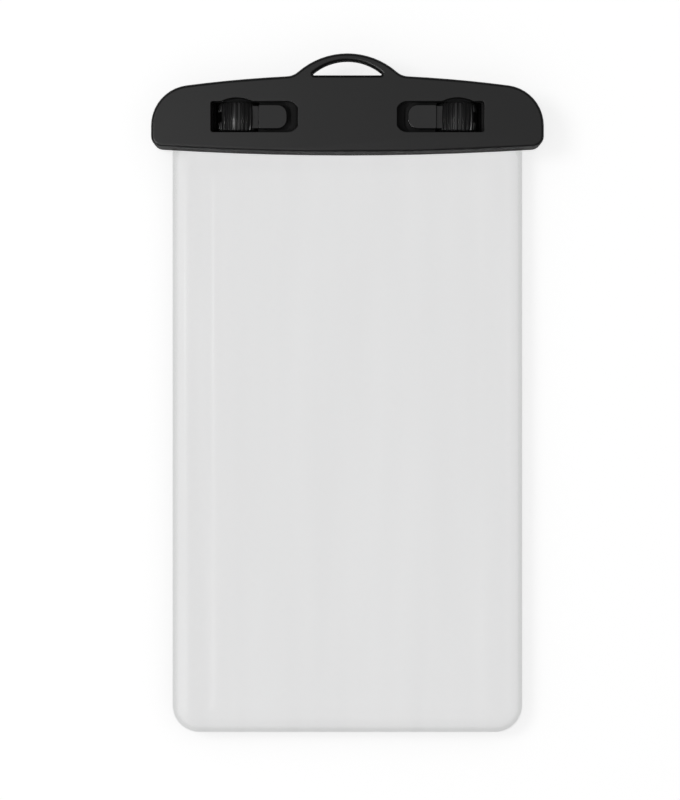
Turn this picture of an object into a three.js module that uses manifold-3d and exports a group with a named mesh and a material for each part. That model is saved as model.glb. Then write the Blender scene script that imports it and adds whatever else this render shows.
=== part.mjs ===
// Waterproof phone pouch: two clear films, welded along three sides, in a two-part clip that two flip levers lock.
// Millimetres. X runs along the clip, +Y points from the film to the lanyard loop and +Z is the front.
// The pouch lies on its back on z = 0, with the origin under the middle of its outline.
import * as THREE from "three";
import { mergeVertices, toCreasedNormals } from "three/addons/utils/BufferGeometryUtils.js";
import Module from "manifold-3d";

const wasm = await Module();
wasm.setup();

// Clip, seen from the front. It stands out past each side of the film.
const clipOverhang = 6;
const clipHeight = 22.9;
const crownRadius = 366;
const bowRadius = 890;
const shoulderRadius = 12;
const footRadius = 3;

// Clip, from back to front
const rearDepth = 5.35;
const partingGap = 0.3;
const frontDepth = 7.75;
const edgeRadius = 0.9;
const edgeSteps = 3;
const clipWall = 2.2;

// Lanyard loop, moulded on the front bar
const loopRise = 6.35;
const loopRadius = 22.2;
const loopBlend = 5.5;
const loopBand = 2.2;
const loopDepth = 5;
const gapWidth = 21.6;
const gapCorner = 0.4;
const gapSink = 0.15;

// Films
const filmWidth = 104;
const filmDrop = 171.9;
const filmTuck = 5.6;
const filmThickness = 0.5;
const filmCorner = 8;
const mouthCorner = 1.2;
const weldWidth = 2.5;
const phoneSpace = 9;
const sideSlope = 11;
const endSlope = 5;
const flatCorner = 7;
const lipGap = 1.1;

// Seals and mouth strips
const sealLift = 2.85;
const sealWidth = 1.6;
const sealNose = 0.8;
const sealHeight = 1.6;
const sealInset = 1.75;
const stripHeight = 1.1;
const stripThickness = 0.9;
const stripInset = 1.25;

// Flip levers. The inset is from the end of the clip to the pivot.
const leverInset = 25.4;
const leverLift = 10.5;
const leverOpening = 95;
const barrelRadius = 5.9;
const barrelLength = 8.45;
const barrelCrown = 0.35;
const barrelChamfer = 0.35;
const barrelProud = 1.2;
const ribCount = 26;
const ribDepth = 0.4;
const tabReach = 14.8;
const tabRoot = 6.2;
const tabWidth = 7.2;
const tabThickness = 1.8;
const tabTip = 2.9;
const tabSink = 0.15;
const tabEdge = 0.3;
const neckReach = 1.2;
const neckRise = 0.3;
const neckDrop = 1.3;

// Lever slots in the front bar
const slotSideGap = 0.25;
const slotOuterGap = 1.8;
const slotTipGap = 1.1;
const slotDepth = 3.6;
const slotCorner = 0.6;
const slotRound = 3.2;
const padInset = 1;
const thumbWidth = 9.2;
const thumbRise = 1.1;
const thumbDepth = 2.6;
const scoopRadius = 4.7;
const scoopDepth = 3.3;
const scoopLip = 2;
const scoopSpill = 0.3;

// Pins, posts and pegs
const pinRadius = 1;
const pinInset = 0.425;
const postHalfWidth = 1.9;
const postThickness = 2.4;
const pegRadius = 1.5;
const pegHeight = 3.2;
const pegWall = 2.1;

// Moulded-out pockets on the inner side of both bars
const innerWall = 1.1;
const pocketRim = 2.4;
const pocketCorner = 1;

// Fits, and how far the parts of one moulding run into each other
const rootOverlap = 0.5;
const pinClearance = 0.1;
const slideClearance = 0.15;
const looseClearance = 0.3;
const turnClearance = 0.5;

// Places and lengths along the clip, and the slots and pins that follow the barrels
const clipWidth = filmWidth + 2 * clipOverhang;
const leverOffset = clipWidth / 2 - leverInset;
const slotOuterEnd = leverOffset + barrelRadius + slotOuterGap;
const slotInnerEnd = leverOffset - tabReach - slotTipGap;
const pegOffset = slotOuterEnd + pegWall + looseClearance + pegRadius;
const slotHeight = barrelLength + 2 * slotSideGap;
const pinLength = barrelLength - 2 * pinInset;
const sealLength = filmWidth - 2 * sealInset;
const stripLength = filmWidth - 2 * stripInset;

// Levels along Y
const overallLength = filmDrop + clipHeight + loopRise;
const loopTop = overallLength / 2;
const filmBottom = -overallLength / 2;
const crownTop = loopTop - loopRise;
const lowerEdge = crownTop - clipHeight;
const filmTop = lowerEdge + filmTuck;
const slotMiddle = lowerEdge + leverLift;

// Levels along Z
const pinchPlane = rearDepth + partingGap / 2;
const frontInner = rearDepth + partingGap;
const frontFace = frontInner + frontDepth;
const pivotHeight = frontFace + barrelProud - barrelRadius;
const tabFloor = frontFace - tabSink - tabThickness;
const slotFloor = frontFace - slotDepth;

const degrees = THREE.MathUtils.degToRad;
const angleOf = (y, x) => THREE.MathUtils.radToDeg(Math.atan2(y, x));

// Points along an arc from one angle to another, in degrees.
function arc(cx, cy, radius, from, to, steps) {
  const points = [];
  for (let i = 0; i <= steps; i += 1) {
    const angle = degrees(from + ((to - from) * i) / steps);
    points.push(new THREE.Vector2(cx + radius * Math.cos(angle), cy + radius * Math.sin(angle)));
  }
  return points;
}

// Arcs joined end to end, with the points that two of them share kept once.
function outline(...arcs) {
  const points = [];
  for (const point of arcs.flat()) {
    const last = points.at(-1);
    if (!last || last.distanceTo(point) > 1e-3) points.push(point);
  }
  if (points[0].distanceTo(points.at(-1)) < 1e-3) points.pop();
  return points;
}

// Rectangle with its own corner radius at the low and the high end of X.
function slotOutline(x0, x1, y0, y1, lowRadius, highRadius, steps) {
  return outline(
    arc(x0 + lowRadius, y0 + lowRadius, lowRadius, 180, 270, steps),
    arc(x1 - highRadius, y0 + highRadius, highRadius, 270, 360, steps),
    arc(x1 - highRadius, y1 - highRadius, highRadius, 0, 90, steps),
    arc(x0 + lowRadius, y1 - lowRadius, lowRadius, 90, 180, steps),
  );
}

// Solid from a closed geometry.
function solidOf(geometry) {
  const bare = geometry.index ? geometry.toNonIndexed() : geometry.clone();
  bare.deleteAttribute("normal");
  bare.deleteAttribute("uv");
  const merged = mergeVertices(bare, 1e-4);
  return new wasm.Manifold(
    new wasm.Mesh({
      numProp: 3,
      vertProperties: merged.attributes.position.array,
      triVerts: new Uint32Array(merged.index.array),
    }),
  );
}

// Outline raised from z0 to z1, with both rims rounded where a rounding is given.
function raised(points, z0, z1, { holes = [], rounding = 0 } = {}) {
  const shape = new THREE.Shape(points);
  shape.holes = holes.map((hole) => new THREE.Path(hole));
  const geometry = new THREE.ExtrudeGeometry(shape, {
    depth: z1 - z0 - 2 * rounding,
    bevelEnabled: rounding > 0,
    bevelThickness: rounding,
    bevelSize: rounding,
    bevelOffset: -rounding,
    bevelSegments: edgeSteps,
  });
  return geometry.translate(0, 0, z0 + rounding);
}

// Section in X and Z drawn out along Y, centred on y = 0.
function drawnAlongY(points, length) {
  const turn = new THREE.Matrix4().makeBasis(
    new THREE.Vector3(1, 0, 0),
    new THREE.Vector3(0, 0, 1),
    new THREE.Vector3(0, -1, 0),
  );
  return raised(points, -length / 2, length / 2).applyMatrix4(turn);
}

// Section in Y and Z drawn out along X, centred on x = 0.
function drawnAlongX(points, length) {
  const turn = new THREE.Matrix4().makeBasis(
    new THREE.Vector3(0, 1, 0),
    new THREE.Vector3(0, 0, 1),
    new THREE.Vector3(1, 0, 0),
  );
  return raised(points, -length / 2, length / 2).applyMatrix4(turn);
}

function block(x0, x1, y0, y1, z0, z1) {
  return new THREE.BoxGeometry(x1 - x0, y1 - y0, z1 - z0).translate(
    (x0 + x1) / 2,
    (y0 + y1) / 2,
    (z0 + z1) / 2,
  );
}

function rodAlongY(radius, length, sides) {
  return new THREE.CylinderGeometry(radius, radius, length, sides);
}

// Skin through a row of rings with equal numbers of points, closed by a flat fan at each end. Seen from the last
// ring, the points of each ring run anticlockwise.
function skinned(rings) {
  const count = rings[0].length;
  const positions = rings.flat().flatMap((point) => point.toArray());
  const faces = [];
  for (let ring = 0; ring < rings.length - 1; ring += 1) {
    for (let i = 0; i < count; i += 1) {
      const a = ring * count + i;
      const b = ring * count + ((i + 1) % count);
      faces.push(a, b, b + count, a, b + count, a + count);
    }
  }
  for (const [ring, start] of [[rings[0], 0], [rings.at(-1), (rings.length - 1) * count]]) {
    const middle = ring.reduce((sum, point) => sum.add(point), new THREE.Vector3()).divideScalar(count);
    const centre = positions.length / 3;
    positions.push(...middle.toArray());
    for (let i = 0; i < count; i += 1) {
      const next = (i + 1) % count;
      if (start === 0) faces.push(centre, next, i);
      else faces.push(centre, start + i, start + next);
    }
  }
  const geometry = new THREE.BufferGeometry();
  geometry.setAttribute("position", new THREE.Float32BufferAttribute(positions, 3));
  geometry.setIndex(faces);
  return geometry;
}

// Crowned top edge and bowed lower edge of the clip, joined at each end by a wide shoulder and a small foot. The
// shoulder touches the crown's circle from inside, and the foot the bow's.
const crownCentre = crownTop - crownRadius;
const bowCentre = lowerEdge + bowRadius;
const shoulderX = clipWidth / 2 - shoulderRadius;
const shoulderY = crownCentre + Math.sqrt((crownRadius - shoulderRadius) ** 2 - shoulderX ** 2);
const footX = clipWidth / 2 - footRadius;
const footY = bowCentre - Math.sqrt((bowRadius - footRadius) ** 2 - footX ** 2);

// The loop's outer circle and its hollow blend into the crown.
const loopCentre = loopTop - loopRadius;
const blendY =
  ((crownRadius + loopBlend) ** 2 - (loopRadius + loopBlend) ** 2 + loopCentre ** 2 - crownCentre ** 2) /
  (2 * (loopCentre - crownCentre));
const blendX = Math.sqrt((loopRadius + loopBlend) ** 2 - (blendY - loopCentre) ** 2);
const crownJoin = angleOf(blendY - crownCentre, blendX);
const loopJoin = angleOf(blendY - loopCentre, blendX);

function clipOutline(withLoop) {
  const shoulderAngle = angleOf(shoulderY - crownCentre, shoulderX);
  const footAngle = angleOf(footY - bowCentre, footX);
  const middle = withLoop
    ? [
        arc(blendX, blendY, loopBlend, crownJoin - 180, loopJoin - 180, 5),
        arc(0, loopCentre, loopRadius, loopJoin, 180 - loopJoin, 16),
        arc(-blendX, blendY, loopBlend, -loopJoin, -crownJoin, 5),
      ]
    : [arc(0, crownCentre, crownRadius, crownJoin, 180 - crownJoin, 6)];
  return outline(
    arc(0, bowCentre, bowRadius, -180 - footAngle, footAngle, 10),
    arc(footX, footY, footRadius, footAngle, 0, 5),
    arc(shoulderX, shoulderY, shoulderRadius, 0, shoulderAngle, 10),
    arc(0, crownCentre, crownRadius, shoulderAngle, crownJoin, 5),
    ...middle,
    arc(0, crownCentre, crownRadius, 180 - crownJoin, 180 - shoulderAngle, 5),
    arc(-shoulderX, shoulderY, shoulderRadius, 180 - shoulderAngle, 180, 10),
    arc(-footX, footY, footRadius, 180, 180 - footAngle, 5),
  );
}

// Gap of the loop: a round arch over a straight floor, with small corners.
function gapOutline() {
  const gapFloor = crownTop - gapSink;
  const gapHeight = loopTop - loopBand - gapFloor;
  const radius = ((gapWidth / 2) ** 2 + gapHeight ** 2) / (2 * gapHeight);
  const centre = loopTop - loopBand - radius;
  const cornerY = gapFloor + gapCorner;
  const cornerX = Math.sqrt((radius - gapCorner) ** 2 - (cornerY - centre) ** 2);
  const cornerAngle = angleOf(cornerY - centre, cornerX);
  return outline(
    arc(cornerX, cornerY, gapCorner, -90, cornerAngle, 4),
    arc(0, centre, radius, cornerAngle, 180 - cornerAngle, 16),
    arc(-cornerX, cornerY, gapCorner, 180 - cornerAngle, 270, 4),
  );
}

// Moves what is drawn about a lever's pivot, with its tab towards +X, to the left (-1) or the right (1) lever.
function atLever(side, geometry) {
  if (side > 0) geometry.rotateZ(Math.PI);
  return geometry.translate(side * leverOffset, slotMiddle, pivotHeight);
}

// Shallow notch above the barrel, where the slot's upper edge bulges towards the crown.
function thumbNotch(side) {
  const half = slotHeight / 2;
  const radius = ((thumbWidth / 2) ** 2 + thumbRise ** 2) / (2 * thumbRise);
  const centre = half + thumbRise - radius;
  const reach = angleOf(half - centre, thumbWidth / 2);
  const segment = outline(arc(0, centre, radius, reach, 180 - reach, 12), [new THREE.Vector2(0, 0)]);
  const top = frontFace - pivotHeight;
  const notch = raised(segment, top - thumbDepth, top + 1);
  return solidOf(notch.translate(side * leverOffset, slotMiddle, pivotHeight));
}

// Slot of one lever: a blind recess around the tab, a window under the barrel, a finger scoop past the tab's tip and
// a thumb notch over the barrel.
function leverSlot(side) {
  const half = slotHeight / 2;
  const outer = -barrelRadius - slotOuterGap;
  const inner = tabReach + slotTipGap;
  const top = frontFace - pivotHeight;
  const floor = slotFloor - pivotHeight;
  const above = top + 1;
  const below = frontInner - pivotHeight - 1;
  const windowEnd = barrelRadius + turnClearance;
  const recess = raised(slotOutline(outer, inner, -half, half, slotCorner, slotRound, 5), floor, above);
  const window = block(outer + slotCorner, windowEnd, -half, half, below, floor + slotDepth / 2);
  const scoopZ = top - scoopDepth + scoopRadius;
  const scoopReach = Math.sqrt(scoopRadius ** 2 - (scoopZ - top) ** 2);
  const scoopEnd = inner + scoopLip;
  const scoopX = scoopEnd - scoopReach;
  const scoopArea = slotOutline(windowEnd, scoopEnd + scoopSpill, -half, half, slotCorner, slotRound, 5);
  const scoop = solidOf(rodAlongY(scoopRadius, slotHeight + 2, 40).translate(scoopX, 0, scoopZ));
  const bounded = scoop.intersect(solidOf(raised(scoopArea, top - scoopDepth - 1, above)));
  const moved = (solid) => solidOf(atLever(side, geometryOf(solid)));
  return joined(solidOf(atLever(side, recess)), [
    solidOf(atLever(side, window)),
    moved(bounded),
    thumbNotch(side),
  ]);
}

// Pad on the floor of the recess, on which the tab lies. The tab hides it from the front.
function restPad(side) {
  const half = tabWidth / 2 - padInset;
  const near = tabRoot + neckReach + looseClearance;
  const far = tabReach - tabTip;
  const low = slotFloor - rootOverlap - pivotHeight;
  return solidOf(atLever(side, block(near, far, -half, half, low, tabFloor - pivotHeight)));
}

// Geometry of a solid, for moving or showing it.
function geometryOf(solid) {
  const { vertProperties, triVerts } = solid.getMesh();
  const geometry = new THREE.BufferGeometry();
  geometry.setAttribute("position", new THREE.BufferAttribute(new Float32Array(vertProperties), 3));
  geometry.setIndex(new THREE.BufferAttribute(new Uint32Array(triVerts), 1));
  return geometry;
}

// Pockets that keep the walls of a bar even: two beside the middle peg and one at each end.
function pocketsBetween(z0, z1) {
  const low = filmTop + looseClearance + innerWall;
  const besidePeg = pegRadius + looseClearance + innerWall;
  const farEnd = clipWidth / 2 - 2 * clipWall;
  const underShoulder = Math.sqrt((shoulderRadius - clipWall) ** 2 - (farEnd - shoulderX) ** 2);
  const middle = [besidePeg, slotInnerEnd - scoopLip - innerWall, crownTop - pocketRim];
  const end = [pegOffset + besidePeg, farEnd, shoulderY + underShoulder];
  const solids = [];
  for (const [near, far, high] of [middle, end]) {
    for (const side of [-1, 1]) {
      const x0 = Math.min(side * near, side * far);
      const x1 = Math.max(side * near, side * far);
      const corner = Math.min(pocketCorner, (far - near) / 3);
      solids.push(solidOf(raised(slotOutline(x0, x1, low, high, corner, corner, 3), z0, z1)));
    }
  }
  return solids;
}

// Places of the locating pegs.
const pegPlaces = [-pegOffset, 0, pegOffset];

function pegsBetween(radius, z0, z1) {
  return pegPlaces.map((x) =>
    solidOf(
      new THREE.CylinderGeometry(radius, radius, z1 - z0, 20)
        .rotateX(Math.PI / 2)
        .translate(x, slotMiddle, (z0 + z1) / 2),
    ),
  );
}

// Grooves for the seal and the mouth strip, and the shallow way that the film takes between the bars. The direction
// is 1 in the front bar and -1 in the rear bar.
function filmSeat(direction) {
  const filmFace = pinchPlane + direction * filmThickness;
  const between = (x, y0, y1, depth) => {
    const far = filmFace + direction * depth;
    return solidOf(block(-x, x, y0, y1, Math.min(pinchPlane, far), Math.max(pinchPlane, far)));
  };
  const sealMiddle = lowerEdge + sealLift;
  const sealHalf = sealWidth / 2 + slideClearance;
  return [
    between(filmWidth / 2 + looseClearance, lowerEdge - 1, filmTop + looseClearance, 0),
    between(sealLength / 2 + slideClearance, sealMiddle - sealHalf, sealMiddle + sealHalf, sealHeight),
    between(
      stripLength / 2 + slideClearance,
      filmTop - stripHeight - slideClearance / 2,
      filmTop + slideClearance,
      stripThickness + slideClearance,
    ),
  ];
}

function cut(solid, tools) {
  return tools.reduce((left, tool) => left.subtract(tool), solid);
}

function joined(solid, others) {
  return others.reduce((whole, other) => whole.add(other), solid);
}

function frontBar() {
  const loopBack = frontFace - loopDepth;
  const face = raised(clipOutline(true), loopBack, frontFace, { holes: [gapOutline()], rounding: edgeRadius });
  const body = raised(clipOutline(false), frontInner, loopBack + loopDepth / 2);
  const blank = cut(solidOf(body).add(solidOf(face)), [leverSlot(-1), leverSlot(1)]);
  return cut(joined(blank, [restPad(-1), restPad(1)]), [
    ...pocketsBetween(frontInner - 1, frontFace - clipWall),
    ...pegsBetween(pegRadius + looseClearance, frontInner - 1, pinchPlane + pegHeight + looseClearance),
    ...filmSeat(1),
    solidOf(raised(gapOutline(), frontInner - 1, loopBack + loopDepth / 2)),
  ]);
}

// Post that rises under one lever into its fork and carries its pin.
function post(side) {
  const foot = -barrelRadius - turnClearance - rootOverlap;
  const shaft = block(-postHalfWidth, postHalfWidth, -postThickness / 2, postThickness / 2, foot, 0);
  const head = rodAlongY(postHalfWidth, postThickness, 32);
  return solidOf(atLever(side, shaft)).add(solidOf(atLever(side, head)));
}

function barrelPocket(side) {
  const half = slotHeight / 2;
  const reach = barrelRadius + turnClearance;
  return solidOf(atLever(side, block(-reach, reach, -half, half, -barrelRadius - turnClearance, 0)));
}

function pinHole(side) {
  return solidOf(atLever(side, rodAlongY(pinRadius + pinClearance, slotHeight, 24)));
}

function rearBar() {
  const rounded = solidOf(raised(clipOutline(false), 0, rearDepth + 2 * edgeRadius, { rounding: edgeRadius }));
  const above = block(-clipWidth, clipWidth, lowerEdge - clipHeight, loopTop, rearDepth, 2 * rearDepth);
  const shell = cut(rounded, [
    solidOf(above),
    barrelPocket(-1),
    barrelPocket(1),
    ...pocketsBetween(clipWall, rearDepth + 1),
    ...filmSeat(-1),
  ]);
  const raisedParts = [post(-1), post(1), ...pegsBetween(pegRadius, rearDepth - rootOverlap, pinchPlane + pegHeight)];
  return cut(joined(shell, raisedParts), [pinHole(-1), pinHole(1)]);
}

// Strip in the groove of one bar, with a narrow nose that presses on the film.
function seal(direction) {
  const base = sealHeight;
  const half = sealWidth / 2;
  const section = [
    [-half, base],
    [half, base],
    [half, base / 2],
    [sealNose / 2, 0],
    [-sealNose / 2, 0],
    [-half, base / 2],
  ].map(([y, depth]) => new THREE.Vector2(y * direction, depth * direction));
  return solidOf(
    drawnAlongX(section, sealLength).translate(0, lowerEdge + sealLift, pinchPlane + direction * filmThickness),
  );
}

function mouthStrip(direction) {
  const near = pinchPlane + direction * filmThickness;
  const far = near + direction * stripThickness;
  const half = stripLength / 2;
  return solidOf(block(-half, half, filmTop - stripHeight, filmTop, Math.min(near, far), Math.max(near, far)));
}

// One ring of a film: its outline drawn in by its own amount at the sides and at the two ends.
function filmRing(sideInset, mouthInset, bottomInset, mouthRadius, bottomRadius, z) {
  const half = filmWidth / 2 - sideInset;
  const low = filmBottom + bottomInset;
  const high = filmTop - mouthInset;
  const steps = 7;
  return [
    ...arc(half - bottomRadius, low + bottomRadius, bottomRadius, 270, 360, steps),
    ...arc(half - mouthRadius, high - mouthRadius, mouthRadius, 0, 90, steps),
    ...arc(-half + mouthRadius, high - mouthRadius, mouthRadius, 90, 180, steps),
    ...arc(-half + bottomRadius, low + bottomRadius, bottomRadius, 180, 270, steps),
  ].map((point) => new THREE.Vector3(point.x, point.y, z));
}

// Film: a flat margin that is welded on three sides and pinched in the clip on the fourth, and inside it a slope
// that rises as a quarter wave to the flat field over the phone. The swell is how far the field stands off.
function film(direction, swell) {
  const mouthFlat = filmTuck + lipGap;
  const mix = (from, to, share) => from + (to - from) * share;
  const slope = (offset) => {
    const rings = [];
    const steps = 7;
    for (let i = 0; i <= steps; i += 1) {
      const share = i / steps;
      const height = (swell - filmThickness) * Math.sin((share * Math.PI) / 2);
      rings.push(
        filmRing(
          mix(weldWidth, weldWidth + sideSlope, share),
          mix(mouthFlat, mouthFlat + endSlope, share),
          mix(weldWidth, weldWidth + endSlope, share),
          mix(mouthCorner, flatCorner, share),
          mix(filmCorner - weldWidth, flatCorner, share),
          pinchPlane + direction * (offset + height),
        ),
      );
    }
    return rings;
  };
  const margin = (offset) => filmRing(0, 0, 0, mouthCorner, filmCorner, pinchPlane + direction * offset);
  const inner = slope(0);
  const outer = slope(filmThickness);
  const rings = [...inner.reverse(), margin(0), margin(filmThickness), ...outer];
  return solidOf(skinned(direction > 0 ? rings : rings.reverse()));
}

// Barrel of a lever, with ribs along its length and a crowned outline, about the Y axis.
function ribbedBarrel() {
  const stations = [
    [-1, barrelChamfer],
    [-1 + (2 * barrelChamfer) / barrelLength, 0],
    [-0.5, 0],
    [0, 0],
    [0.5, 0],
    [1 - (2 * barrelChamfer) / barrelLength, 0],
    [1, barrelChamfer],
  ];
  const ribShape = [
    [-0.26, 0],
    [0.26, 0],
    [0.4, ribDepth],
    [0.6, ribDepth],
  ];
  const rings = stations.map(([share, chamfer]) => {
    const radius = barrelRadius - barrelCrown * share ** 2 - chamfer;
    const ring = [];
    for (let rib = 0; rib < ribCount; rib += 1) {
      for (const [turn, depth] of ribShape) {
        const angle = (-2 * Math.PI * (rib + turn)) / ribCount;
        const reach = radius - depth;
        ring.push(
          new THREE.Vector3(reach * Math.cos(angle), (share * barrelLength) / 2, reach * Math.sin(angle)),
        );
      }
    }
    return ring;
  });
  return solidOf(skinned(rings));
}

// Fork of a lever: the room that its post sweeps, from lying to fully open.
function forkSweep() {
  const reach = postHalfWidth + looseClearance;
  const far = barrelRadius + 2;
  const flare = THREE.MathUtils.radToDeg(Math.asin(reach / far));
  const last = 270 - leverOpening - 5;
  const section = outline(
    arc(0, 0, reach, 0, last - 90, 6),
    arc(0, 0, far, last - flare, 270 + flare, 16),
  );
  return solidOf(drawnAlongY(section, postThickness + 2 * looseClearance));
}

// Lever about its pivot: ribbed barrel, and a tab with a rounded tip on a neck.
function lever() {
  const low = tabFloor - pivotHeight;
  const half = tabWidth / 2;
  const tabOutline = slotOutline(tabRoot, tabReach, -half, half, tabEdge * 2, tabTip, 6);
  const tab = raised(tabOutline, low, low + tabThickness, { rounding: tabEdge });
  const neckHalf = half - tabEdge;
  const neck = block(
    barrelRadius / 2,
    tabRoot + neckReach,
    -neckHalf,
    neckHalf,
    low - neckDrop,
    low + neckRise,
  );
  const bore = rodAlongY(pinRadius + pinClearance, slotHeight, 24);
  return cut(joined(ribbedBarrel(), [solidOf(neck), solidOf(tab)]), [forkSweep(), solidOf(bore)]);
}

const material = {
  clip: new THREE.MeshStandardMaterial({ color: 0x303030, roughness: 0.55, metalness: 0 }),
  lever: new THREE.MeshStandardMaterial({ color: 0x222222, roughness: 0.3, metalness: 0 }),
  film: new THREE.MeshStandardMaterial({
    color: 0xe0e1e4,
    roughness: 0.2,
    metalness: 0,
    transparent: true,
    opacity: 0.45,
    side: THREE.DoubleSide,
  }),
  seal: new THREE.MeshStandardMaterial({ color: 0xd0d0ce, roughness: 0.7, metalness: 0 }),
  strip: new THREE.MeshStandardMaterial({ color: 0xd8dadc, roughness: 0.4, metalness: 0 }),
  pin: new THREE.MeshStandardMaterial({ color: 0xb8babc, roughness: 0.3, metalness: 1 }),
};

function piece(name, solid, finish) {
  const mesh = new THREE.Mesh(toCreasedNormals(geometryOf(solid), degrees(30)), finish.clone());
  mesh.name = name;
  return mesh;
}

const pouch = new THREE.Group();
pouch.add(
  piece("front_bar", frontBar(), material.clip),
  piece("rear_bar", rearBar(), material.clip),
  piece("front_seal", seal(1), material.seal),
  piece("rear_seal", seal(-1), material.seal),
  piece("front_mouth_strip", mouthStrip(1), material.strip),
  piece("rear_mouth_strip", mouthStrip(-1), material.strip),
  piece("front_film", film(1, phoneSpace + 2 * filmThickness - pinchPlane), material.film),
  piece("rear_film", film(-1, pinchPlane), material.film),
);

// Each lever and its pin sit in a group at the pivot, turned so that the tab points to the middle of the clip.
for (const [name, side] of [["left", -1], ["right", 1]]) {
  const pivot = new THREE.Group();
  pivot.position.set(side * leverOffset, slotMiddle, pivotHeight);
  pivot.rotation.z = side > 0 ? Math.PI : 0;
  pivot.add(
    piece(name + "_lever", lever(), material.lever),
    piece(name + "_pin", solidOf(rodAlongY(pinRadius, pinLength, 24)), material.pin),
  );
  pouch.add(pivot);
}

export default pouch;
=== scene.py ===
# Waterproof pouch: clear welded films in a black two-part clip with two flip levers
import math

import bpy
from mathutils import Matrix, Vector


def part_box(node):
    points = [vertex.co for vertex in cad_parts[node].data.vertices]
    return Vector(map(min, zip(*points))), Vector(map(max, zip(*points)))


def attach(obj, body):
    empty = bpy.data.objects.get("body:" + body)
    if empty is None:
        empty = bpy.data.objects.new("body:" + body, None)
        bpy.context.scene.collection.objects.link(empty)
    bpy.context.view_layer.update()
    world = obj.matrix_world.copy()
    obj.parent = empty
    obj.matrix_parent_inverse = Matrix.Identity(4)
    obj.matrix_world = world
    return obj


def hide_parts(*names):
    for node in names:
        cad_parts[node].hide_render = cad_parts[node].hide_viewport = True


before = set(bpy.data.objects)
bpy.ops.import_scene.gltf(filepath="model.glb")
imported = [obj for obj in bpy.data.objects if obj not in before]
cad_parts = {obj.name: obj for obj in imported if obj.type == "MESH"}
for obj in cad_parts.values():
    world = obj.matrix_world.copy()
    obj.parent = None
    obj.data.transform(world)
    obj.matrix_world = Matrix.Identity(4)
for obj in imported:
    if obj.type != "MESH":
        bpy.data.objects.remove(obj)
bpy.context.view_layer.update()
mm = 0.001
print("frame loaded")


# Working helpers

def activate(piece):
    bpy.ops.object.select_all(action="DESELECT")
    piece.select_set(True)
    bpy.context.view_layer.objects.active = piece


def applyModifier(piece, kind, **settings):
    activate(piece)
    modifier = piece.modifiers.new(kind.title(), kind)
    for name, value in settings.items():
        setattr(modifier, name, value)
    bpy.ops.object.modifier_apply(modifier=modifier.name)


def smoothPiece(piece, angle):
    # round faces shade smooth, and large flat faces keep their own normal
    activate(piece)
    bpy.ops.object.shade_smooth_by_angle(angle=math.radians(angle))
    applyModifier(piece, "WEIGHTED_NORMAL", keep_sharp=True, weight=80)


# how near a frame part's loose corners are joined, and how flat faces must be to become one
joining = {"distance": 0.002 * mm, "flatAngle": 0.4}


def mergedCopy(node, pieceName):
    # a copy of a frame part with its loose triangles joined and its flat faces made whole
    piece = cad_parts[node].copy()
    piece.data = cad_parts[node].data.copy()
    for key in list(piece.keys()):
        del piece[key]
    piece.name = pieceName
    piece.data.name = pieceName
    piece.parent = None
    piece.data.materials.clear()
    bpy.context.scene.collection.objects.link(piece)
    activate(piece)
    bpy.ops.object.mode_set(mode="EDIT")
    bpy.ops.mesh.select_all(action="SELECT")
    bpy.ops.mesh.customdata_custom_splitnormals_clear()
    bpy.ops.mesh.remove_doubles(threshold=joining["distance"])
    bpy.ops.mesh.mark_sharp(clear=True)
    bpy.ops.mesh.dissolve_limited(angle_limit=math.radians(joining["flatAngle"]))
    bpy.ops.object.mode_set(mode="OBJECT")
    return piece


def selectSharpEdges(piece, angle, keep):
    # sharp edges whose two ends both pass the keep test
    activate(piece)
    bpy.ops.object.mode_set(mode="EDIT")
    bpy.ops.mesh.select_mode(type="EDGE")
    bpy.ops.mesh.select_all(action="DESELECT")
    bpy.ops.mesh.edges_select_sharp(sharpness=math.radians(angle))
    bpy.ops.object.mode_set(mode="OBJECT")
    mesh = piece.data
    for edge in mesh.edges:
        if edge.select and not all(keep(mesh.vertices[i].co) for i in edge.vertices):
            edge.select = False
    bpy.ops.object.mode_set(mode="EDIT")
    bpy.ops.mesh.select_mode(type="EDGE")


def finishPiece(piece, body, node, material):
    piece.data.materials.clear()
    piece.data.materials.append(material)
    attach(piece, body)
    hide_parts(node)


# Material helpers. A value given to a socket may be a number, a colour or another node's output.

def feed(tree, socket, given):
    if isinstance(given, bpy.types.NodeSocket):
        tree.links.new(given, socket)
    else:
        socket.default_value = given


def newGroup(name, inputs, outputs):
    group = bpy.data.node_groups.new(name, "ShaderNodeTree")
    for label, value in inputs:
        socket = group.interface.new_socket(name=label, in_out="INPUT", socket_type="NodeSocketFloat")
        socket.default_value = value
    for label in outputs:
        group.interface.new_socket(name=label, in_out="OUTPUT", socket_type="NodeSocketFloat")
    return group, group.nodes.new("NodeGroupInput"), group.nodes.new("NodeGroupOutput")


def newMaterial(name):
    material = bpy.data.materials.new(name)
    material.use_nodes = True
    return material, material.node_tree, material.node_tree.nodes["Principled BSDF"]


def objectPlace(tree):
    return tree.nodes.new("ShaderNodeTexCoord").outputs["Object"]


def mathNode(tree, operation, first, second):
    node = tree.nodes.new("ShaderNodeMath")
    node.operation = operation
    feed(tree, node.inputs[0], first)
    feed(tree, node.inputs[1], second)
    return node.outputs[0]


def noiseNode(tree, vector, scale, detail):
    node = tree.nodes.new("ShaderNodeTexNoise")
    feed(tree, node.inputs["Vector"], vector)
    feed(tree, node.inputs["Scale"], scale)
    node.inputs["Detail"].default_value = detail
    return node.outputs["Fac"]


def rangeNode(tree, value, fromLow, fromHigh, toLow, toHigh, smooth=False):
    node = tree.nodes.new("ShaderNodeMapRange")
    if smooth:
        node.interpolation_type = "SMOOTHSTEP"
    feed(tree, node.inputs["Value"], value)
    feed(tree, node.inputs["From Min"], fromLow)
    feed(tree, node.inputs["From Max"], fromHigh)
    feed(tree, node.inputs["To Min"], toLow)
    feed(tree, node.inputs["To Max"], toHigh)
    return node.outputs["Result"]


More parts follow.
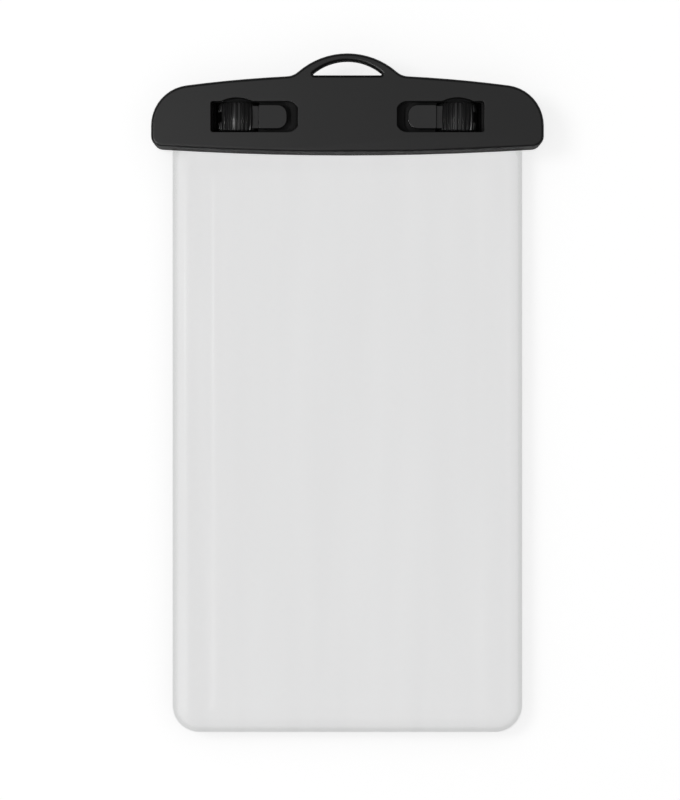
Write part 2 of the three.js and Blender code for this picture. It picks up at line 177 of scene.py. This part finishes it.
def colourNode(tree, blend, factor, first, second):
    node = tree.nodes.new("ShaderNodeMix")
    node.data_type = "RGBA"
    node.blend_type = blend
    feed(tree, node.inputs["Factor"], factor)
    feed(tree, node.inputs[6], first)
    feed(tree, node.inputs[7], second)
    return node.outputs[2]


def bumpNode(tree, strength, depth, height):
    node = tree.nodes.new("ShaderNodeBump")
    node.inputs["Strength"].default_value = strength
    node.inputs["Distance"].default_value = depth
    feed(tree, node.inputs["Height"], height)
    return node.outputs["Normal"]


# Moulded, cut and drawn finishes
skinForm = {
    "grainDepth": 0.05 * mm,
    "grainDetail": 3.0,
    "cloudScale": 38.0,
    "cloudDetail": 2.0,
    "cloudBand": (0.3, 0.7),
    "cloudTone": (0.9, 1.1),
    "sideBand": (0.2 * mm, 1.2 * mm),
}


def mouldedSkinGroup(form):
    # fine spark-eroded grain, with a slow change of gloss and of tone over the moulding
    group, given, result = newGroup(
        "mouldedSkin",
        [
            ("Grain Scale", 2500.0), ("Gloss", 0.45), ("Gloss Change", 0.08),
            ("Side Level", 0.0), ("Side Roughness", 0.0),
        ],
        ["Roughness", "Height", "Tone"],
    )
    place = objectPlace(group)
    grain = noiseNode(group, place, given.outputs["Grain Scale"], form["grainDetail"])
    cloud = noiseNode(group, place, form["cloudScale"], form["cloudDetail"])
    change = given.outputs["Gloss Change"]
    spread = mathNode(group, "MULTIPLY", mathNode(group, "SUBTRACT", cloud, 0.5), change)
    fine = mathNode(group, "MULTIPLY", mathNode(group, "SUBTRACT", grain, 0.5), change)
    total = mathNode(group, "ADD", mathNode(group, "ADD", given.outputs["Gloss"], spread), fine)
    # walls below the face keep the rougher finish of the mould's sides
    parts = group.nodes.new("ShaderNodeSeparateXYZ")
    group.links.new(place, parts.inputs[0])
    depth = mathNode(group, "SUBTRACT", given.outputs["Side Level"], parts.outputs[2])
    sides = rangeNode(group, depth, *form["sideBand"], 0.0, given.outputs["Side Roughness"], smooth=True)
    group.links.new(mathNode(group, "ADD", total, sides), result.inputs["Roughness"])
    group.links.new(grain, result.inputs["Height"])
    tone = rangeNode(group, cloud, *form["cloudBand"], *form["cloudTone"])
    group.links.new(tone, result.inputs["Tone"])
    return group


def skinMaterial(name, look, skin):
    material, tree, shader = newMaterial(name)
    node = tree.nodes.new("ShaderNodeGroup")
    node.node_tree = skin
    node.inputs["Grain Scale"].default_value = look["grainScale"]
    node.inputs["Gloss"].default_value = look["roughness"]
    node.inputs["Gloss Change"].default_value = look["glossChange"]
    node.inputs["Side Level"].default_value = look.get("sideLevel", 0.0)
    node.inputs["Side Roughness"].default_value = look.get("sideRoughness", 0.0)
    colour = colourNode(tree, "MULTIPLY", 1.0, (*look["colour"], 1.0), node.outputs["Tone"])
    tree.links.new(colour, shader.inputs["Base Color"])
    tree.links.new(node.outputs["Roughness"], shader.inputs["Roughness"])
    normal = bumpNode(tree, look["bump"], skinForm["grainDepth"], node.outputs["Height"])
    tree.links.new(normal, shader.inputs["Normal"])
    shader.inputs["Specular IOR Level"].default_value = look["specular"]
    shader.inputs["Metallic"].default_value = look.get("metallic", 0.0)
    return material


skinGroup = mouldedSkinGroup(skinForm)

clipLook = {
    "colour": (0.0085, 0.0085, 0.0088),
    "roughness": 0.37,
    "glossChange": 0.06,
    "grainScale": 2600.0,
    "bump": 0.25,
    "specular": 0.36,
    "sideLevel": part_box("front_bar")[1].z,
    "sideRoughness": 0.4,
}
leverLook = {
    "colour": (0.0135, 0.0135, 0.0138),
    "roughness": 0.19,
    "glossChange": 0.05,
    "grainScale": 1500.0,
    "bump": 0.08,
    "specular": 0.36,
}
sealLook = {
    "colour": (0.62, 0.62, 0.6),
    "roughness": 0.62,
    "glossChange": 0.1,
    "grainScale": 1800.0,
    "bump": 0.2,
    "specular": 0.4,
}
stripLook = {
    "colour": (0.68, 0.69, 0.71),
    "roughness": 0.35,
    "glossChange": 0.08,
    "grainScale": 1500.0,
    "bump": 0.1,
    "specular": 0.5,
}
pinLook = {
    "colour": (0.6, 0.6, 0.61),
    "roughness": 0.28,
    "glossChange": 0.12,
    "grainScale": 3000.0,
    "bump": 0.1,
    "specular": 0.5,
    "metallic": 1.0,
}
clipPlastic = skinMaterial("clipPlastic", clipLook, skinGroup)
leverPlastic = skinMaterial("leverPlastic", leverLook, skinGroup)
sealSilicone = skinMaterial("sealSilicone", sealLook, skinGroup)
stripPlastic = skinMaterial("stripPlastic", stripLook, skinGroup)
pinSteel = skinMaterial("pinSteel", pinLook, skinGroup)
print("moulded finishes made")


# Films. Their outline and levels come from the frame, and the slopes follow its solids.
filmForm = {
    "thickness": 0.5 * mm,
    "weldGap": 0.03 * mm,
    "weldWidth": 2.5 * mm,
    "mouthFlat": 6.7 * mm,
    "sideSlope": 11 * mm,
    "endSlope": 5 * mm,
    "bottomCorner": 8 * mm,
    "spacing": 0.85 * mm,
    "gathered": 0.5,
    "smoothAngle": 50,
}
# the film's slack: heights are in millimetres, lengths of waves in metres, and phases in radians
slackForm = {
    "least": 0.15,
    "slow": 0.1, "slowAcross": 0.019, "slowAlong": 0.031, "slowPhase": (1.3, 0.4),
    "slant": 0.06, "slantAcross": 0.011, "slantAlong": 0.023, "slantPhase": 2.1,
    "gather": 0.12, "gatherAcross": 0.0052, "gatherReach": 0.012,
    "sway": 0.7, "swayAcross": 0.017,
    "crease": 0.16, "creaseWave": 0.0016, "creaseLong": 0.012, "creaseWide": 0.005, "creaseInset": 0.012,
}
# the weld and painted shade bands are in millimetres in from the outline: the rim band is the weld's own grey
# together with painted shade of the film's bent edge, and the band past it is painted shade on the slope
filmLook = {
    "clearTint": (0.987, 0.988, 0.99),
    "streakSpread": (170.0, 11.0, 40.0),
    "streakBand": (0.35, 0.65),
    "streakTone": 0.978,
    "weldAndShadeTint": (0.8, 0.805, 0.803),
    "shade": (0.5, 0.5, 0.502),
    "weldAndShadeRimBand": (0.4, 2.6),
    "paintedShadeBand": (2.3, 4.6),
    "paintedShadeShare": 0.22,
    "roughness": 0.05,
    "hazeScale": 24.0,
    "hazeBand": (0.3, 0.7),
    "hazeSpread": (0.6, 1.4),
    "weldRoughness": 0.12,
    "rippleScale": 160.0,
    "rippleStrength": 0.3,
    "rippleDepth": 0.06 * mm,
    "ior": 1.012,
    "coat": 0.16,
    "coatRoughness": 0.27,
}


def outlineInsetGroup(half, centreY, corner):
    # distance in from the rounded outline of the pouch, in millimetres
    group, given, result = newGroup("outlineInset", [], ["Inset"])

    def vectorNode(operation, first, second=None):
        node = group.nodes.new("ShaderNodeVectorMath")
        node.operation = operation
        group.links.new(first, node.inputs[0])
        if second is not None:
            node.inputs[1].default_value = second
        return node.outputs["Value" if operation == "LENGTH" else "Vector"]

    centred = vectorNode("SUBTRACT", objectPlace(group), (0.0, centreY, 0.0))
    flat = vectorNode("MULTIPLY", centred, (1.0, 1.0, 0.0))
    past = vectorNode("SUBTRACT", vectorNode("ABSOLUTE", flat), (half[0] - corner, half[1] - corner, 1.0))
    outside = vectorNode("LENGTH", vectorNode("MAXIMUM", past, (0.0, 0.0, 0.0)))
    parts = group.nodes.new("ShaderNodeSeparateXYZ")
    group.links.new(past, parts.inputs[0])
    inside = mathNode(group, "MINIMUM", mathNode(group, "MAXIMUM", parts.outputs[0], parts.outputs[1]), 0.0)
    reach = mathNode(group, "SUBTRACT", corner, mathNode(group, "ADD", outside, inside))
    group.links.new(mathNode(group, "MULTIPLY", reach, 1 / mm), result.inputs["Inset"])
    return group


def filmMaterial(look, form):
    material, tree, shader = newMaterial("clearFilm")
    low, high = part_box("front_film")
    half = ((high.x - low.x) / 2, (high.y - low.y) / 2)
    inset = tree.nodes.new("ShaderNodeGroup")
    inset.node_tree = outlineInsetGroup(half, (high.y + low.y) / 2, form["bottomCorner"])
    # painted shade: the rim is darkened for the weld and also for the shade that a refracting film edge would
    # have, which this nearly unrefracting film doesn't make itself
    weldAndEdgeShade = rangeNode(tree, inset.outputs[0], *look["weldAndShadeRimBand"], 1.0, 0.0, smooth=True)
    # painted shade: a faint darker band just past the weld, on the film's slope
    paintedEdgeShade = rangeNode(tree, inset.outputs[0], *look["paintedShadeBand"], look["paintedShadeShare"], 0.0, smooth=True)
    weldAndPaintedShade = mathNode(tree, "MAXIMUM", weldAndEdgeShade, paintedEdgeShade)
    # the film's tint, darker where the weld and the painted shade lie
    colour = colourNode(tree, "MIX", weldAndPaintedShade, (*look["clearTint"], 1.0), (*look["weldAndShadeTint"], 1.0))

    # faint streaks along the pouch, from the drawing of the film
    place = objectPlace(tree)
    drawn = tree.nodes.new("ShaderNodeMapping")
    drawn.inputs["Scale"].default_value = look["streakSpread"]
    tree.links.new(place, drawn.inputs["Vector"])
    streaks = noiseNode(tree, drawn.outputs["Vector"], 1.0, 2.0)
    streakTone = rangeNode(tree, streaks, *look["streakBand"], look["streakTone"], 1.0)
    tree.links.new(colourNode(tree, "MULTIPLY", 1.0, colour, streakTone), shader.inputs["Base Color"])

    # the clear part is a little hazier in some places, and the weld all over; the same mask makes the painted
    # shade band a little rougher too
    spread = [look["roughness"] * share for share in look["hazeSpread"]]
    haze = rangeNode(tree, noiseNode(tree, place, look["hazeScale"], 3.0), *look["hazeBand"], *spread)
    roughness = rangeNode(tree, weldAndPaintedShade, 0.0, 1.0, haze, look["weldRoughness"])
    tree.links.new(roughness, shader.inputs["Roughness"])
    ripple = noiseNode(tree, place, look["rippleScale"], 1.0)
    normal = bumpNode(tree, look["rippleStrength"], look["rippleDepth"], ripple)
    tree.links.new(normal, shader.inputs["Normal"])
    tree.links.new(normal, shader.inputs["Coat Normal"])
    shader.inputs["IOR"].default_value = look["ior"]
    shader.inputs["Coat Weight"].default_value = look["coat"]
    shader.inputs["Coat Roughness"].default_value = look["coatRoughness"]
    shader.inputs["Transmission Weight"].default_value = 1.0

    # lamps shine through the film, a little dimmed, and a ray that has entered the sheet leaves it unturned
    shadowRay = tree.nodes.new("ShaderNodeLightPath").outputs["Is Shadow Ray"]
    leaving = tree.nodes.new("ShaderNodeNewGeometry").outputs["Backfacing"]
    clear = tree.nodes.new("ShaderNodeBsdfTransparent")
    dimming = colourNode(tree, "MIX", shadowRay, (1.0, 1.0, 1.0, 1.0), (*look["shade"], 1.0))
    tree.links.new(dimming, clear.inputs["Color"])
    mix = tree.nodes.new("ShaderNodeMixShader")
    tree.links.new(mathNode(tree, "MAXIMUM", shadowRay, leaving), mix.inputs["Fac"])
    tree.links.new(shader.outputs[0], mix.inputs[1])
    tree.links.new(clear.outputs[0], mix.inputs[2])
    tree.links.new(mix.outputs[0], tree.nodes["Material Output"].inputs["Surface"])
    return material


def roundBottomCorners(mesh, low, high, corner):
    # the square corners of the grid are drawn in to quarter circles
    for vertex in mesh.vertices:
        side = 1 if vertex.co.x > 0 else -1
        u = (abs(vertex.co.x) - (high.x - corner)) / corner
        v = ((low.y + corner) - vertex.co.y) / corner
        if u > 0 and v > 0:
            vertex.co.x = side * (high.x - corner + corner * u * math.sqrt(1 - v * v / 2))
            vertex.co.y = low.y + corner - corner * v * math.sqrt(1 - u * u / 2)


def swellShare(x, y, low, high, form):
    # 0 on the flat weld and mouth, 1 on the raised field
    across = ((high.x - abs(x)) - form["weldWidth"]) / form["sideSlope"]
    below = (y - low.y - form["weldWidth"]) / form["endSlope"]
    above = (high.y - form["mouthFlat"] - y) / form["endSlope"]
    missX = 1 - min(max(across, 0), 1)
    missY = 1 - min(max(min(below, above), 0), 1)
    return max(0, 1 - math.hypot(missX, missY))


def slackWaves(x, y, low, high, form):
    # slow, shallow waves of the slack film, with gathers under the clip and creases towards the corners
    phaseX, phaseY = form["slowPhase"]
    slow = form["slow"] * math.sin(x / form["slowAcross"] + phaseX) * math.sin(y / form["slowAlong"] + phaseY)
    slow += form["slant"] * math.sin(x / form["slantAcross"] - y / form["slantAlong"] + form["slantPhase"])
    sway = form["sway"] * math.sin(x / form["swayAcross"])
    fade = math.exp((y - high.y + form["gatherReach"]) / form["gatherReach"])
    gather = form["gather"] * math.sin(x / form["gatherAcross"] + sway) * fade
    # u runs out to the corner and v across that line
    diagonal = 0.7071
    out = (abs(x) - high.x + form["creaseInset"]) * diagonal
    down = (low.y + form["creaseInset"] - y) * diagonal
    u = out + down
    v = out - down
    crease = form["crease"] * math.exp(-((u / form["creaseLong"]) ** 2)) * math.cos(v / form["creaseWave"])
    crease *= math.exp(-((v / form["creaseWide"]) ** 2))
    return (slow + gather + crease) * mm


def gatherRows(mesh, low, high, share):
    # rows of the grid stand closer together near the edges, where the film bends most
    for vertex in mesh.vertices:
        for axis in (0, 1):
            size = high[axis] - low[axis]
            along = (vertex.co[axis] - low[axis]) / size
            shift = share * math.sin(2 * math.pi * along) / (2 * math.pi)
            vertex.co[axis] = low[axis] + size * (along - shift)


def makeFilm(pieceName, node, direction, form):
    low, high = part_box(node)
    size = high - low
    thickness = form["thickness"] - form["weldGap"]
    across = round(size.x / form["spacing"])
    along = round(size.y / form["spacing"])
    bpy.ops.object.select_all(action="DESELECT")
    bpy.ops.mesh.primitive_grid_add(x_subdivisions=across, y_subdivisions=along, size=1)
    piece = bpy.context.active_object
    piece.name = pieceName
    piece.scale = (size.x, size.y, 1)
    piece.location = ((low.x + high.x) / 2, (low.y + high.y) / 2, 0)
    bpy.ops.object.transform_apply(location=True, scale=True)
    gatherRows(piece.data, low, high, form["gathered"])
    roundBottomCorners(piece.data, low, high, form["bottomCorner"])
    swell = size.z - form["thickness"]
    pinch = low.z if direction > 0 else high.z
    middle = form["weldGap"] + thickness / 2
    for vertex in piece.data.vertices:
        share = swellShare(vertex.co.x, vertex.co.y, low, high, form)
        lift = swell * (1 - math.cos(share * math.pi)) / 2
        waves = slackWaves(vertex.co.x, vertex.co.y, low, high, slackForm)
        slack = share * min(0.0, waves - slackForm["least"] * mm)
        vertex.co.z = pinch + direction * (middle + lift + slack)
    if direction < 0:
        bpy.ops.object.mode_set(mode="EDIT")
        bpy.ops.mesh.select_all(action="SELECT")
        bpy.ops.mesh.flip_normals()
        bpy.ops.object.mode_set(mode="OBJECT")
    applyModifier(piece, "SOLIDIFY", thickness=thickness, offset=0.0, use_even_offset=False)
    activate(piece)
    bpy.ops.object.shade_smooth_by_angle(angle=math.radians(form["smoothAngle"]))
    finishPiece(piece, "pouch", node, clearFilm)


clearFilm = filmMaterial(filmLook, filmForm)
makeFilm("front_clear_film", "front_film", 1, filmForm)
makeFilm("rear_clear_film", "rear_film", -1, filmForm)
print("films made")


# Clip, levers, seals, mouth strips and pins, from the frame's own solids
clipForm = {"edge": 0.22 * mm, "steps": 3, "sharpAngle": 33, "smoothAngle": 35, "faceReach": 0.02 * mm}
leverForm = {"edge": 0.07 * mm, "steps": 2, "sharpAngle": 28, "smoothAngle": 40, "clamp": False}
sealForm = {"edge": 0.4 * mm, "steps": 3, "sharpAngle": 40, "smoothAngle": 35, "clamp": True}
stripForm = {"edge": 0.18 * mm, "steps": 3, "sharpAngle": 40, "smoothAngle": 35, "clamp": True}
pinForm = {"edge": 0.12 * mm, "steps": 2, "sharpAngle": 40, "smoothAngle": 35, "clamp": True}


def makeClipBar(pieceName, node, faceLevel, form):
    # only the edges that lie in the bar's outer face are rounded
    piece = mergedCopy(node, pieceName)
    selectSharpEdges(piece, form["sharpAngle"], lambda place: abs(place.z - faceLevel) < form["faceReach"])
    bpy.ops.mesh.bevel(offset=form["edge"], segments=form["steps"], affect="EDGES", clamp_overlap=False)
    bpy.ops.object.mode_set(mode="OBJECT")
    smoothPiece(piece, form["smoothAngle"])
    finishPiece(piece, "pouch", node, clipPlastic)


def makeRounded(pieceName, node, body, material, form):
    # all the sharp edges are rounded
    piece = mergedCopy(node, pieceName)
    applyModifier(
        piece, "BEVEL", width=form["edge"], segments=form["steps"], limit_method="ANGLE",
        angle_limit=math.radians(form["sharpAngle"]), use_clamp_overlap=form["clamp"],
    )
    smoothPiece(piece, form["smoothAngle"])
    finishPiece(piece, body, node, material)


makeClipBar("front_clip_shell", "front_bar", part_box("front_bar")[1].z, clipForm)
makeClipBar("rear_clip_shell", "rear_bar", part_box("rear_bar")[0].z, clipForm)
for side in ("left", "right"):
    body = "lever_on_the_" + side
    makeRounded(side + "_flip_lever", side + "_lever", body, leverPlastic, leverForm)
print("clip and levers made")

for side in ("front", "rear"):
    strip = side + "_mouth_strip"
    makeRounded(side + "_soft_seal", side + "_seal", "pouch", sealSilicone, sealForm)
    makeRounded(side + "_stiff_mouth_strip", strip, "pouch", stripPlastic, stripForm)
for side in ("left", "right"):
    makeRounded(side + "_steel_pin", side + "_pin", "pouch", pinSteel, pinForm)
print("seals, mouth strips and pins made")


# Floor, lights and camera
floorLook = {
    "size": 3.0,
    "level": -0.05 * mm,
    "colour": (0.55, 0.55, 0.55),
    "roughness": 0.9,
    "specular": 0.1,
    "glow": 0.74,
}
camera = {"place": (-2.2 * mm, -1.8 * mm), "distance": 0.87, "pictureHeight": 236 * mm, "sensorHeight": 24}
# the key only lights surfaces, and the others only shine in the plastic and the film
lamps = {
    "key": {"place": (-0.7, 0.25, 1.0), "size": 0.45, "power": 2.6, "shines": False},
    "sheen": {"place": (-0.45, -0.3, 0.9), "size": 0.4, "power": 3.8, "shines": True},
    "spark": {"place": (-0.4, 0.06, 0.9), "size": 0.04, "power": 1.6, "shines": True},
    "low": {"place": (-0.8, -0.7, 0.3), "size": 0.16, "power": 0.2, "shines": True},
}
worldLight = {"ambient": 0.36, "side": 0.02, "overhead": 0.92, "sideEnd": 0.8, "backdrop": 0.85}


def makeFloor(look):
    # the floor's glow is seen by the camera, and lights nothing
    bpy.ops.object.select_all(action="DESELECT")
    bpy.ops.mesh.primitive_plane_add(size=look["size"], location=(0, 0, look["level"]))
    floor = bpy.context.active_object
    floor.name = "floor"
    material, tree, shader = newMaterial("floorPaper")
    shader.inputs["Base Color"].default_value = (*look["colour"], 1.0)
    shader.inputs["Roughness"].default_value = look["roughness"]
    shader.inputs["Specular IOR Level"].default_value = look["specular"]
    path = tree.nodes.new("ShaderNodeLightPath")
    seen = mathNode(tree, "MAXIMUM", path.outputs["Is Camera Ray"], path.outputs["Is Glossy Ray"])
    seen = mathNode(tree, "MAXIMUM", seen, path.outputs["Is Transmission Ray"])
    shader.inputs["Emission Color"].default_value = (1, 1, 1, 1)
    tree.links.new(mathNode(tree, "MULTIPLY", seen, look["glow"]), shader.inputs["Emission Strength"])
    floor.data.materials.append(material)


def makeWorld(look):
    # even light on surfaces, but shine only from overhead, so that rims are darker than the face
    world = bpy.data.worlds.new("softWorld")
    bpy.context.scene.world = world
    world.use_nodes = True
    tree = world.node_tree
    sky = tree.nodes["Background"]
    parts = tree.nodes.new("ShaderNodeSeparateXYZ")
    tree.links.new(tree.nodes.new("ShaderNodeTexCoord").outputs["Generated"], parts.inputs[0])
    shine = rangeNode(tree, parts.outputs[2], look["sideEnd"], 1.0, look["side"], look["overhead"])
    path = tree.nodes.new("ShaderNodeLightPath")
    level = rangeNode(tree, path.outputs["Is Glossy Ray"], 0.0, 1.0, look["ambient"], shine)
    # the floor's light comes through the film as shadow rays alone, and the film itself shows a pale backdrop
    through = rangeNode(tree, path.outputs["Diffuse Depth"], 0.0, 1.0, look["backdrop"], 0.0)
    level = rangeNode(tree, path.outputs["Transmission Depth"], 0.0, 1.0, level, through)
    tree.links.new(mathNode(tree, "MAXIMUM", path.outputs["Is Camera Ray"], level), sky.inputs["Strength"])
    sky.inputs["Color"].default_value = (1, 1, 1, 1)


def makeLamp(name, look):
    lamp = bpy.data.lights.new(name, "AREA")
    lamp.size = look["size"]
    lamp.energy = look["power"]
    holder = bpy.data.objects.new(name, lamp)
    bpy.context.scene.collection.objects.link(holder)
    holder.location = look["place"]
    holder.rotation_euler = (-Vector(look["place"])).to_track_quat("-Z", "Y").to_euler()
    holder.visible_glossy = look["shines"]
    holder.visible_diffuse = not look["shines"]
    holder.visible_transmission = False


def makeCamera(look):
    # it looks straight down on the clip's face
    view = bpy.data.cameras.new("camera")
    holder = bpy.data.objects.new("camera", view)
    bpy.context.scene.collection.objects.link(holder)
    holder.location = (*look["place"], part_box("front_bar")[1].z + look["distance"])
    view.sensor_fit = "VERTICAL"
    view.sensor_height = look["sensorHeight"]
    view.lens = look["sensorHeight"] * look["distance"] / look["pictureHeight"]
    bpy.context.scene.camera = holder


makeFloor(floorLook)
makeWorld(worldLight)
for name, look in lamps.items():
    makeLamp(name, look)
makeCamera(camera)
bpy.context.scene.view_settings.view_transform = "Standard"
print("floor, lights and camera set")
